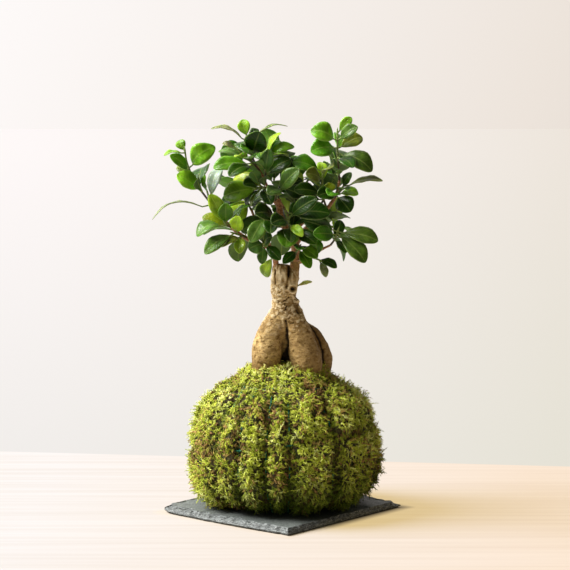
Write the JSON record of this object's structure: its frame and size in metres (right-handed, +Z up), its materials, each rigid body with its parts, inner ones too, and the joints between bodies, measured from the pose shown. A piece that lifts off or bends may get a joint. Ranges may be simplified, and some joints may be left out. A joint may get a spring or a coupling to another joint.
{
  "type": "kokedama moss ball plant",
  "caption": "Ginseng-type ficus with swollen tan roots and glossy oval leaves, rooted in a moss ball bound with thread and standing on a square slate tile.",
  "frame": {"origin": "centre of the slate tile's underside, which stands on the table", "axes": "+Z up along the plant, +X to the right as seen from the front, +Y away from the viewer"},
  "size_m": [0.2155, 0.2069, 0.348],
  "materials": {
    "slate": "matte",
    "soil": "matte",
    "moss": "matte",
    "thread": "matte",
    "bark": "matte",
    "wood": "matte",
    "leaf": "satin"
  },
  "bodies": {
    "root": {"slate_tile": "slate", "soil_core": "soil", "moss_wrap": "moss", "binding_thread": "thread", "trunk": "bark", "limb_left": "wood", "limb_right": "wood", "spray_left_tip": "leaf", "spray_left_side": "leaf", "spray_left_low": "leaf", "spray_left_under": "leaf", "spray_left_inner": "leaf", "spray_top_left": "leaf", "spray_top_outer": "leaf", "spray_mid_left": "leaf", "spray_front_left": "leaf", "spray_front": "leaf", "spray_front_low": "leaf", "spray_centre_top": "leaf", "spray_centre": "leaf", "spray_right_inner": "leaf", "spray_right_top": "leaf", "spray_right_side": "leaf", "spray_right_low": "leaf", "spray_right_under": "leaf", "spray_back_left": "leaf", "spray_back_left_low": "leaf", "spray_back_top": "leaf", "spray_back_middle": "leaf", "spray_back_low": "leaf", "spray_back_right": "leaf", "spray_back_right_low": "leaf"}
  },
  "joints": []
}
